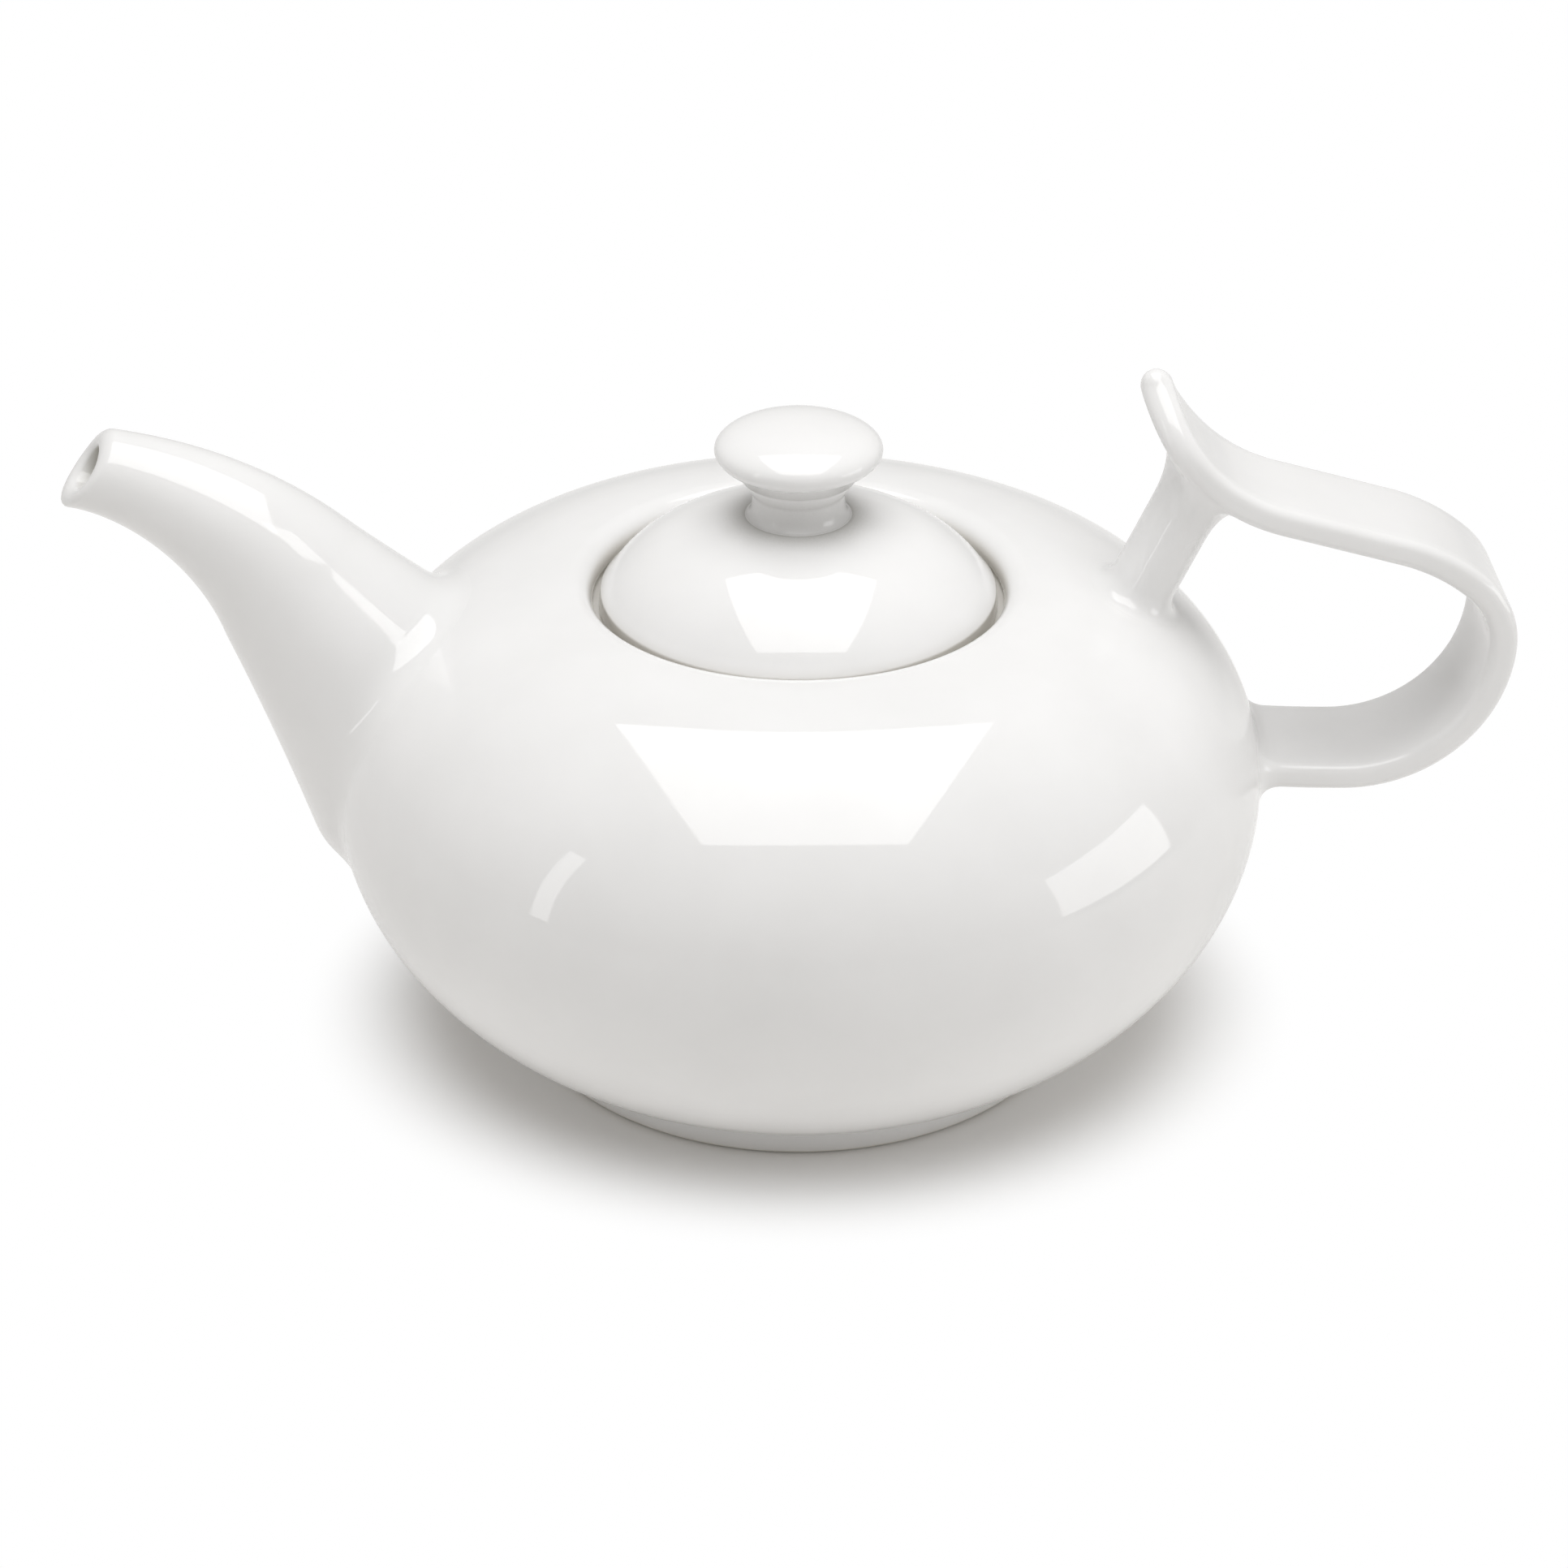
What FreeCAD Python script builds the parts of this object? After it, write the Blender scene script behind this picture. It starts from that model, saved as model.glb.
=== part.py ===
import FreeCAD, Part
import math
import os
import re
import Sketcher

Vector = FreeCAD.Vector

# Driving sizes in millimetres and degrees. The origin is the middle of the foot on the table,
# +Z is up, the handle points to +X and the spout to -X.
SIZES = {
    # pot: the belly is half an ellipse, the shoulder a quarter ellipse that ends level at the lip
    "body_radius": 84.0,
    "equator_height": 50.3,
    "belly_drop": 57.8,
    "lip_top": 88.8,
    "lip_radius": 41.0,
    "lip_round": 4.4,
    "wall": 4.0,
    "floor_thickness": 5.0,
    "seam_drop": 12.0,
    # seat of the lid
    "seat_drop": 0.8,
    "ledge_thickness": 4.0,
    "throat_radius": 30.8,
    # foot
    "foot_height": 6.0,
    "foot_radius": 52.4,
    "foot_flare": 0.9,
    "foot_width": 6.0,
    "foot_round": 1.2,
    # lid
    "lid_gap": 1.8,
    "lid_rim_height": 5.6,
    "lid_rim_round": 2.4,
    "lid_wall": 4.0,
    "skirt_gap": 0.8,
    "skirt_depth": 8.0,
    "skirt_wall": 3.2,
    "vent_diameter": 3.2,
    "vent_radius": 20.0,
    # knob
    "knob_seat": 11.4,
    "knob_foot_radius": 9.6,
    "knob_foot_edge": 0.6,
    "stem_radius": 7.6,
    "stem_height": 8.1,
    "stem_cove": 2.6,
    "stem_fillet": 1.6,
    "knob_radius": 14.7,
    "knob_rise": 5.2,
    "knob_flat": 0.6,
    "knob_drop": 4.2,
    # spout: a straight run, then a bend to the mouth
    "spout_bend_x": 90.0,
    "spout_bend_z": 88.0,
    "spout_rise": 54.0,
    "spout_bend_radius": 56.0,
    "spout_bend_turn": 44.0,
    "spout_root_run": 52.0,
    "spout_tip_radius": 7.2,
    "spout_swell": 23.9,
    "spout_power": 1.42,
    "spout_tuck": 8.0,
    "spout_tuck_length": 14.0,
    "spout_wall": 3.5,
    "mouth_slant": 36.0,
    "mouth_round": 1.4,
    "strainer_radius": 13.5,
    "strainer_hole": 5.0,
    "strainer_pitch": 9.5,
    # handle ribbon: thumb rest, straight run, crest, upper and lower bend, root
    "handle_reach": 124.2,
    "bend_height": 78.8,
    "upper_bend": 15.2,
    "lower_bend": 25.8,
    "crest_bend": 36.0,
    "crest_turn": 25.0,
    "strap_slope": 15.1,
    "strap_run": 21.5,
    "thumb_radius": 32.9,
    "thumb_turn": 60.7,
    "root_bend": 206.0,
    "root_turn": 8.0,
    "strap_width": 24.0,
    "strap_thickness": 4.9,
    "thumb_width": 11.0,
    "thumb_taper": 16.0,
    # handle post
    "post_x": 60.3,
    "post_lean": 24.0,
    "post_thickness": 11.6,
    "post_width": 15.0,
    "post_flare": 1.2,
    "post_flare_length": 7.0,
}

doc = FreeCAD.newDocument("teapot")
sheet = doc.addObject("Spreadsheet::Sheet", "sizes")
for row, (alias, value) in enumerate(SIZES.items(), 1):
    sheet.set(f"A{row}", alias)
    sheet.set(f"B{row}", str(value))
    sheet.setAlias(f"B{row}", alias)
doc.recompute()


# Expressions on the sheet
def sheet_text(expression):
    """The expression with each size name pointing at its cell."""
    return re.sub(r"[a-z_]+[a-z]", lambda m: f"sizes.{m[0]}" if m[0] in SIZES else m[0], expression)


def size(expression):
    """The number that an expression on the sheet gives now."""
    return float(sheet.evalExpression(sheet_text(expression)))


def bind(item, prop, expression):
    item.setExpression(prop, sheet_text(expression))


# Places and sizes that several pieces share
GALLERY_RADIUS = "(lip_radius - lip_round)"
SEAT = "(lip_top - lip_round - seat_drop)"
LID_RADIUS = f"({GALLERY_RADIUS} - lid_gap)"
LID_EDGE = f"({SEAT} + lid_rim_height)"
KNOB_FOOT = f"({LID_EDGE} + knob_seat)"
RING_HOLES = 6
BELLY_FOOT_RADIUS = "(body_radius * sqrt(1 - ((equator_height - foot_height) / belly_drop) ^ 2))"
INSIDE_RADIUS = "(body_radius - wall)"
INSIDE_DROP = "(belly_drop - wall)"
SEAM = "(equator_height - seam_drop)"
OUTER_SEAM = "(body_radius * sqrt(1 - (seam_drop / belly_drop) ^ 2))"
INNER_SEAM = f"({INSIDE_RADIUS} * sqrt(1 - (seam_drop / {INSIDE_DROP}) ^ 2))"


# Bodies, sketches and outlines
def new_body(name):
    body = doc.addObject("PartDesign::Body", name)
    body.Label = name
    return body


def new_sketch(body, name, plane, offset=FreeCAD.Placement()):
    sketch = body.newObject("Sketcher::SketchObject", name)
    support = [o for o in body.Origin.OriginFeatures if o.Role == plane][0]
    sketch.AttachmentSupport = [(support, "")]
    sketch.MapMode = "FlatFace"
    sketch.AttachmentOffset = offset
    return sketch


def add_bound(sketch, kind, *where, expression):
    """A dimension of a sketch whose value is an expression on the sheet."""
    index = sketch.addConstraint(Sketcher.Constraint(kind, *where, size(expression)))
    bind(sketch, f"Constraints[{index}]", expression)


def hold_along(sketch, geometry, end, axis, value):
    """Pins a point of a sketch along X or Y at an expression; an axis takes the place of zero."""
    if abs(size(value)) < 1e-9:
        sketch.addConstraint(Sketcher.Constraint("PointOnObject", geometry, end, -2 if axis == "X" else -1))
    else:
        add_bound(sketch, f"Distance{axis}", -1, 1, geometry, end, expression=value)


def hold_point(sketch, geometry, end, x, y):
    hold_along(sketch, geometry, end, "X", x)
    hold_along(sketch, geometry, end, "Y", y)


class Outline:
    """A closed outline in a sketch: corners are expressions, joined by lines or curves."""

    def __init__(self, sketch, x, y):
        self.sketch = sketch
        self.corners = [(x, y)]
        self.joins = []

    def line(self, x, y):
        self.joins.append(("line",))
        self.corners.append((x, y))

    def ellipse(self, x, y, centre_x, centre_y):
        """A level ellipse about a centre, on to the next corner."""
        self.joins.append(("ellipse", centre_x, centre_y))
        self.corners.append((x, y))

    def arc(self, x, y, centre_x, centre_y):
        """A circle about a centre, on to the next corner."""
        self.joins.append(("arc", centre_x, centre_y))
        self.corners.append((x, y))

    def close(self):
        """Draws the outline; the last corner has to be the first one again."""
        ends = []
        for join, start, stop in zip(self.joins, self.corners, self.corners[1:]):
            a = Vector(size(start[0]), size(start[1]), 0)
            b = Vector(size(stop[0]), size(stop[1]), 0)
            if join[0] == "line":
                index = self.sketch.addGeometry(Part.LineSegment(a, b), False)
                ends.append((index, 1, 2))
            else:
                ends.append(self.curve(join, a, b))
        for (index, start, stop), (after, begin, _) in zip(ends, ends[1:] + ends[:1]):
            self.sketch.addConstraint(Sketcher.Constraint("Coincident", index, stop, after, begin))
        for (index, start, _), (x, y) in zip(ends, self.corners):
            hold_point(self.sketch, index, start, x, y)

    def curve(self, join, a, b):
        """Adds the shorter way round from a to b and says which of its ends comes first."""
        centre = Vector(size(join[1]), size(join[2]), 0)
        p = a - centre
        q = b - centre
        if join[0] == "arc":
            width = height = p.Length
        else:
            cross = p.x ** 2 * q.y ** 2 - q.x ** 2 * p.y ** 2
            width = math.sqrt(cross / (q.y ** 2 - p.y ** 2))
            height = math.sqrt(cross / (p.x ** 2 - q.x ** 2))
        turn = p.x * q.y - p.y * q.x
        first, last = (p, q) if turn > 0 else (q, p)
        order = (1, 2) if turn > 0 else (2, 1)
        if join[0] == "arc":
            angles = [math.atan2(v.y, v.x) for v in (first, last)]
            circle = Part.Circle(centre, Vector(0, 0, 1), width)
            index = self.sketch.addGeometry(Part.ArcOfCircle(circle, *angles), False)
            upright = abs(q.y - p.y) > abs(q.x - p.x)
            hold_along(self.sketch, index, 3, "X" if upright else "Y", join[1] if upright else join[2])
            return (index, *order)
        wide = width >= height
        along = Vector(width, 0, 0) if wide else Vector(0, height, 0)
        across = Vector(0, height, 0) if wide else Vector(-width, 0, 0)
        ellipse = Part.Ellipse(centre + along, centre + across, centre)
        index = self.sketch.addGeometry(
            Part.ArcOfEllipse(ellipse, ellipse.parameter(centre + first), ellipse.parameter(centre + last)),
            False)
        axis = self.sketch.GeometryCount
        self.sketch.exposeInternalGeometry(index)
        self.sketch.addConstraint(Sketcher.Constraint("Horizontal" if wide else "Vertical", axis))
        hold_point(self.sketch, index, 3, join[1], join[2])
        return (index, *order)


def revolve(body, sketch):
    feature = body.newObject("PartDesign::Revolution", "Turned")
    feature.Profile = sketch
    feature.ReferenceAxis = (sketch, ["V_Axis"])
    feature.Angle = 360
    doc.recompute()
    return feature


def edges_where(feature, test):
    """Names of the edges whose every vertex and middle pass a test."""
    names = []
    for number, edge in enumerate(feature.Shape.Edges, 1):
        middle = edge.valueAt((edge.FirstParameter + edge.LastParameter) / 2)
        if all(test(p) for p in [v.Point for v in edge.Vertexes] + [middle]):
            names.append(f"Edge{number}")
    return names


def round_edges(body, feature, test, radius):
    """Fillets the edges that pass a test."""
    fillet = body.newObject("PartDesign::Fillet", "Rounded")
    fillet.Base = (feature, edges_where(feature, test))
    bind(fillet, "Radius", radius)
    doc.recompute()
    return fillet


def ring_at(radius, height):
    """A test for circles about the pot's axis at two expressions."""
    r = size(radius)
    z = size(height)
    return lambda p: abs(math.hypot(p.x, p.y) - r) < 0.01 and abs(p.z - z) < 0.01


def across_path(x, z, angle):
    """Place for a section at a point in the XZ plane, facing a direction in degrees above +X."""
    return FreeCAD.Placement(Vector(0, z, x), FreeCAD.Rotation(Vector(1, 0, 0), -angle))


# Pot: a bowl below the seam, the shoulder above it, the ring that carries the lid and the strainer
def pot_body():
    body = new_body("pot_body")
    sketch = new_sketch(body, "bowl_section", "XZ_Plane")
    floor_top = "(foot_height + floor_thickness)"
    floor_radius = f"({INSIDE_RADIUS} * sqrt(1 - ((equator_height - {floor_top}) / {INSIDE_DROP}) ^ 2))"
    outline = Outline(sketch, "0", "foot_height")
    outline.line(BELLY_FOOT_RADIUS, "foot_height")
    outline.ellipse(OUTER_SEAM, SEAM, "0", "equator_height")
    outline.line(INNER_SEAM, SEAM)
    outline.ellipse(floor_radius, floor_top, "0", "equator_height")
    outline.line("0", floor_top)
    outline.line("0", "foot_height")
    outline.close()
    revolve(body, sketch)
    return body


def shoulder_form():
    """The shoulder before it is opened behind the spout."""
    body = new_body("shoulder_form")
    sketch = new_sketch(body, "shoulder_section", "XZ_Plane")
    outline = Outline(sketch, OUTER_SEAM, SEAM)
    outline.ellipse("body_radius", "equator_height", "0", "equator_height")
    outline.ellipse("lip_radius", "lip_top", "lip_radius", "equator_height")
    outline.arc(GALLERY_RADIUS, "lip_top - lip_round", "lip_radius", "lip_top - lip_round")
    outline.line(GALLERY_RADIUS, SEAT)
    outline.line("lip_radius", SEAT)
    outline.line("lip_radius", "lip_top - wall")
    outline.ellipse(INSIDE_RADIUS, "equator_height", "lip_radius", "equator_height")
    outline.ellipse(INNER_SEAM, SEAM, "0", "equator_height")
    outline.line(OUTER_SEAM, SEAM)
    outline.close()
    revolve(body, sketch)
    return body


def lid_seat():
    body = new_body("lid_seat")
    sketch = new_sketch(body, "seat_section", "XZ_Plane")
    under = f"({SEAT} - ledge_thickness)"
    outline = Outline(sketch, "throat_radius", under)
    outline.line("lip_radius", under)
    outline.line("lip_radius", SEAT)
    outline.line("throat_radius", SEAT)
    outline.line("throat_radius", under)
    outline.close()
    revolve(body, sketch)
    return body


def strainer_rod(name, places):
    """A rod along the spout's root, with bores at places; it marks the strainer in the wall."""
    body = new_body(name)
    bend = Vector(-size("spout_bend_x"), 0, size("spout_bend_z"))
    rise = 180 - size("spout_rise")
    sketch = new_sketch(body, f"{name}_section", "YZ_Plane", across_path(bend.x, bend.z, rise))
    circles = [("0", "0", "2 * strainer_radius")] + [(x, y, "strainer_hole") for x, y in places]
    for x, y, diameter in circles:
        ring = Part.Circle(Vector(size(x), size(y), 0), Vector(0, 0, 1), size(f"{diameter} / 2"))
        circle = sketch.addGeometry(ring, False)
        hold_point(sketch, circle, 3, x, y)
        add_bound(sketch, "Diameter", circle, expression=diameter)
    rod = body.newObject("PartDesign::Pad", "rod")
    rod.Profile = sketch
    rod.Type = "Length"
    rod.Reversed = True
    bind(rod, "Length", "spout_root_run")
    doc.recompute()
    return body


def strainer_places():
    """One hole in the middle of a ring of six."""
    places = [("0", "0")]
    for number in range(RING_HOLES):
        turn = math.radians(360 / RING_HOLES * number)
        places.append((f"strainer_pitch * {math.cos(turn):.6f}", f"strainer_pitch * {math.sin(turn):.6f}"))
    return places


def pot_outside():
    """The pot as a solid plug, to trim what is joined to it."""
    body = new_body("pot_outside")
    sketch = new_sketch(body, "outside_section", "XZ_Plane")
    outline = Outline(sketch, "0", "foot_height")
    outline.line(BELLY_FOOT_RADIUS, "foot_height")
    outline.ellipse("body_radius", "equator_height", "0", "equator_height")
    outline.ellipse("lip_radius", "lip_top", "lip_radius", "equator_height")
    outline.line("0", "lip_top")
    outline.line("0", "foot_height")
    outline.close()
    revolve(body, sketch)
    return body


def foot_form():
    """The foot before its top is trimmed to the belly."""
    body = new_body("foot_form")
    sketch = new_sketch(body, "foot_section", "XZ_Plane")
    inner = "(foot_radius - foot_width)"
    outline = Outline(sketch, inner, "0")
    outline.line("foot_radius", "0")
    outline.line("foot_radius + foot_flare", "foot_height")
    outline.line("foot_radius + foot_flare", "equator_height")
    outline.line(inner, "equator_height")
    outline.line(inner, "0")
    outline.close()
    ring = revolve(body, sketch)
    rims = [ring_at("foot_radius", "0"), ring_at(inner, "0")]
    round_edges(body, ring, lambda p: any(rim(p) for rim in rims), "foot_round")
    return body


# Lid: a dome about a centre on the axis, down to an upright rim, with the skirt below
DOME_CENTRE = (f"((knob_foot_radius ^ 2 - {LID_RADIUS} ^ 2 + {KNOB_FOOT} ^ 2 - {LID_EDGE} ^ 2)"
               f" / (2 * ({KNOB_FOOT} - {LID_EDGE})))")
DOME_RADIUS = f"sqrt(knob_foot_radius ^ 2 + ({KNOB_FOOT} - {DOME_CENTRE}) ^ 2)"


def lid():
    body = new_body("lid")
    sketch = new_sketch(body, "lid_section", "XZ_Plane")
    skirt_outer = "(throat_radius - skirt_gap)"
    skirt_inner = f"({skirt_outer} - skirt_wall)"
    skirt_end = f"({SEAT} - skirt_depth)"
    under_radius = f"({DOME_RADIUS} - lid_wall)"
    under_edge = f"({DOME_CENTRE} + sqrt({under_radius} ^ 2 - {skirt_inner} ^ 2))"
    under_top = f"({DOME_CENTRE} + {under_radius})"
    outline = Outline(sketch, "0", KNOB_FOOT)
    outline.line("knob_foot_radius", KNOB_FOOT)
    outline.arc(LID_RADIUS, LID_EDGE, "0", DOME_CENTRE)
    outline.line(LID_RADIUS, SEAT)
    outline.line(skirt_outer, SEAT)
    outline.line(skirt_outer, skirt_end)
    outline.line(skirt_inner, skirt_end)
    outline.line(skirt_inner, under_edge)
    outline.arc("0", under_top, "0", DOME_CENTRE)
    outline.line("0", KNOB_FOOT)
    outline.close()
    dome = revolve(body, sketch)
    round_edges(body, dome, ring_at(LID_RADIUS, LID_EDGE), "lid_rim_round")
    # steam vent at the back
    vent = new_sketch(body, "vent_place", "XY_Plane")
    circle = vent.addGeometry(Part.Circle(Vector(0, size("vent_radius"), 0), Vector(0, 0, 1),
                                          size("vent_diameter / 2")), False)
    hold_point(vent, circle, 3, "0", "vent_radius")
    add_bound(vent, "Diameter", circle, expression="vent_diameter")
    bore = body.newObject("PartDesign::Pocket", "vent")
    bore.Profile = vent
    bore.Type = "ThroughAll"
    bore.Reversed = True
    doc.recompute()
    return body


def lid_knob():
    body = new_body("lid_knob")
    sketch = new_sketch(body, "knob_section", "XZ_Plane")
    cove_start = f"({KNOB_FOOT} + knob_foot_edge)"
    cove_end = f"({cove_start} + stem_cove)"
    stem_end = f"({KNOB_FOOT} + stem_height)"
    widest = f"({stem_end} + knob_drop)"
    crown = f"({widest} + knob_rise * sqrt(1 - (knob_flat / knob_radius) ^ 2))"
    outline = Outline(sketch, "0", KNOB_FOOT)
    outline.line("knob_foot_radius", KNOB_FOOT)
    outline.line("knob_foot_radius", cove_start)
    outline.ellipse("stem_radius", cove_end, "knob_foot_radius", cove_end)
    outline.line("stem_radius", stem_end)
    outline.ellipse("knob_radius", widest, "0", widest)
    outline.ellipse("knob_flat", crown, "0", widest)
    outline.line("0", crown)
    outline.line("0", KNOB_FOOT)
    outline.close()
    knob = revolve(body, sketch)
    round_edges(body, knob, ring_at("stem_radius", stem_end), "stem_fillet")
    return body


# Forms that follow a path in the XZ plane
def loft(body, kind, sections):
    feature = body.newObject(f"PartDesign::{kind}", kind)
    feature.Profile = sections[0]
    feature.Sections = sections[1:]
    doc.recompute()
    return feature


def combine(kind, name, base, tool):
    feature = doc.addObject(f"Part::{kind}", name)
    feature.Base = base
    feature.Tool = tool
    feature.Label = name
    doc.recompute()
    return feature


def cut(name, base, tool):
    return combine("Cut", name, base, tool)


def heading(angle):
    """Unit vector in the XZ plane, degrees above +X."""
    return Vector(math.cos(math.radians(angle)), 0, math.sin(math.radians(angle)))


# Spout: a straight run up from inside the pot, a bend towards the level and a straight end
BEND_LENGTH = "(spout_bend_radius * spout_bend_turn * pi / 180)"
SPOUT_LENGTH = f"(spout_root_run + {BEND_LENGTH})"
RUN_STEPS = 6
BEND_STEPS = 4
THUMB_STEPS = 5
ROOT_STEPS = 2


def swelled(left):
    """Radius at a distance from the mouth, before the root is tucked in to the belly."""
    return f"spout_tip_radius + spout_swell * ({left} / {SPOUT_LENGTH}) ^ spout_power"


def spout_stations():
    """Points along the spout: place, heading and radius as an expression."""
    rise = 180 - size("spout_rise")
    bend = Vector(-size("spout_bend_x"), 0, size("spout_bend_z"))
    stations = []
    for step in range(RUN_STEPS):
        left = 1 - step / RUN_STEPS
        tuck = f"spout_tuck * max(0; 1 - spout_root_run * {1 - left} / spout_tuck_length) ^ 2"
        stations.append((bend - heading(rise) * size("spout_root_run") * left, rise,
                         f"{swelled(f'({BEND_LENGTH} + spout_root_run * {left})')} - {tuck}"))
    centre = bend + heading(rise + 90) * size("spout_bend_radius")
    for step in range(BEND_STEPS + 1):
        part = step / BEND_STEPS
        angle = rise + size("spout_bend_turn") * part
        stations.append((centre - heading(angle + 90) * size("spout_bend_radius"), angle,
                         swelled(f"({BEND_LENGTH} * {1 - part})")))
    return stations


def spout_form():
    """The spout before it is trimmed to the pot and the mouth."""
    body = new_body("spout_form")
    stations = spout_stations()
    mouth, angle, _ = stations[-1]
    stations.append((mouth + heading(angle) * size("2 * spout_tip_radius"), angle, "spout_tip_radius"))
    for kind, inset in (("AdditiveLoft", "0"), ("SubtractiveLoft", "spout_wall")):
        sections = []
        for number, (point, angle, outer) in enumerate(stations):
            radius = f"{outer} - {inset}"
            sketch = new_sketch(body, f"{kind}_{number}", "YZ_Plane", across_path(point.x, point.z, angle))
            circle = sketch.addGeometry(Part.Circle(Vector(), Vector(0, 0, 1), size(radius)), False)
            sketch.addConstraint(Sketcher.Constraint("Coincident", circle, 3, -1, 1))
            add_bound(sketch, "Radius", circle, expression=radius)
            sections.append(sketch)
        loft(body, kind, sections)
    return body, mouth


def spout():
    form, mouth = spout_form()
    trimmed = cut("spout_root", form, plug)
    beyond = doc.addObject("Part::Box", "beyond_mouth")
    for side in ("Length", "Width", "Height"):
        bind(beyond, side, "8 * spout_tip_radius")
    slant = size("mouth_slant")
    turn = FreeCAD.Rotation(Vector(0, 1, 0), slant - 180)
    corner = turn.multVec(Vector(0, -1, -1) * size("4 * spout_tip_radius"))
    beyond.Placement = FreeCAD.Placement(mouth + corner, turn)
    doc.recompute()
    open_end = cut("spout_end", trimmed, beyond)
    facing = Vector(-math.cos(math.radians(slant)), 0, math.sin(math.radians(slant)))
    rims = edges_where(open_end, lambda p: abs((p - mouth).dot(facing)) < 0.01)
    rounded = doc.addObject("Part::Fillet", "spout")
    rounded.Base = open_end
    radius = size("mouth_round")
    rounded.Edges = [(int(name[4:]), radius, radius) for name in rims]
    doc.recompute()
    return rounded


# Handle ribbon: from the thumb rest along a straight run and round the bends into the belly
def ribbon_arcs():
    """Arcs of the ribbon's middle line: centre, radius, first and last angle and steps."""
    reach = Vector(size("handle_reach"), 0, size("bend_height"))
    fall = 180 - size("strap_slope")
    tight = fall - 90 - size("crest_turn")
    top_centre = reach - Vector(size("upper_bend"), 0, 0)
    low_centre = reach - Vector(size("lower_bend"), 0, 0)
    crest_centre = top_centre + heading(tight) * size("upper_bend - crest_bend")
    run_end = crest_centre + heading(fall - 90) * size("crest_bend") + heading(fall) * size("strap_run")
    thumb_centre = run_end + heading(fall - 90) * size("thumb_radius")
    root_centre = low_centre + Vector(0, 0, size("root_bend - lower_bend"))
    return [
        (thumb_centre, "thumb_radius", fall + 90 - size("thumb_turn"), fall + 90, THUMB_STEPS),
        (crest_centre, "crest_bend", fall - 90, tight, ROOT_STEPS),
        (top_centre, "upper_bend", tight, 0, BEND_STEPS),
        (low_centre, "lower_bend", 0, -90, BEND_STEPS),
        (root_centre, "root_bend", -90, -90 - size("root_turn"), ROOT_STEPS),
    ]


def handle_path():
    """Stations along the ribbon's middle: place, heading and distance from the thumb end."""
    stations = []
    for centre, radius, start, stop, steps in ribbon_arcs():
        for step in range(steps + 1):
            angle = start + (stop - start) * step / steps
            point = centre + heading(angle) * size(radius)
            way = angle + 90 if stop > start else angle - 90
            if not stations or (point - stations[-1][0]).Length > 0.01:
                before = stations[-1][2] + (point - stations[-1][0]).Length if stations else 0
                stations.append((point, way, before))
    return stations


def add_slot(sketch, width, thickness):
    """A bar with round ends about the sketch's origin, wide along X."""
    radius = size(f"{thickness} / 2")
    half = size(f"({width} - {thickness}) / 2")
    up = Vector(0, radius, 0)
    side = Vector(half, 0, 0)
    normal = Vector(0, 0, 1)
    top = sketch.addGeometry(Part.LineSegment(side + up, up - side), False)
    left = sketch.addGeometry(
        Part.ArcOfCircle(Part.Circle(-side, normal, radius), math.pi / 2, math.pi * 3 / 2), False)
    low = sketch.addGeometry(Part.LineSegment(-side - up, side - up), False)
    right = sketch.addGeometry(
        Part.ArcOfCircle(Part.Circle(side, normal, radius), -math.pi / 2, math.pi / 2), False)
    loop = [top, left, low, right]
    for index, after in zip(loop, loop[1:] + loop[:1]):
        sketch.addConstraint(Sketcher.Constraint("Tangent", index, 2, after, 1))
    sketch.addConstraint(Sketcher.Constraint("Horizontal", top))
    sketch.addConstraint(Sketcher.Constraint("Equal", left, right))
    sketch.addConstraint(Sketcher.Constraint("Symmetric", left, 3, right, 3, -1, 1))
    add_bound(sketch, "Radius", right, expression=f"{thickness} / 2")
    add_bound(sketch, "DistanceX", left, 3, right, 3, expression=f"{width} - {thickness}")


def strap_form():
    """The ribbon before its end is trimmed to the pot: it narrows to a round thumb rest."""
    body = new_body("strap_form")
    taper = size("thumb_taper")
    sections = []
    for number, (point, way, distance) in enumerate(handle_path()):
        short = max(0.0, 1 - distance / taper) ** 2
        width = f"(strap_width - (strap_width - thumb_width) * {short:.6f})"
        sketch = new_sketch(body, f"strap_{number}", "YZ_Plane", across_path(point.x, point.z, way))
        add_slot(sketch, width, "strap_thickness")
        sections.append(sketch)
    loft(body, "AdditiveLoft", sections)
    return body


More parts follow.
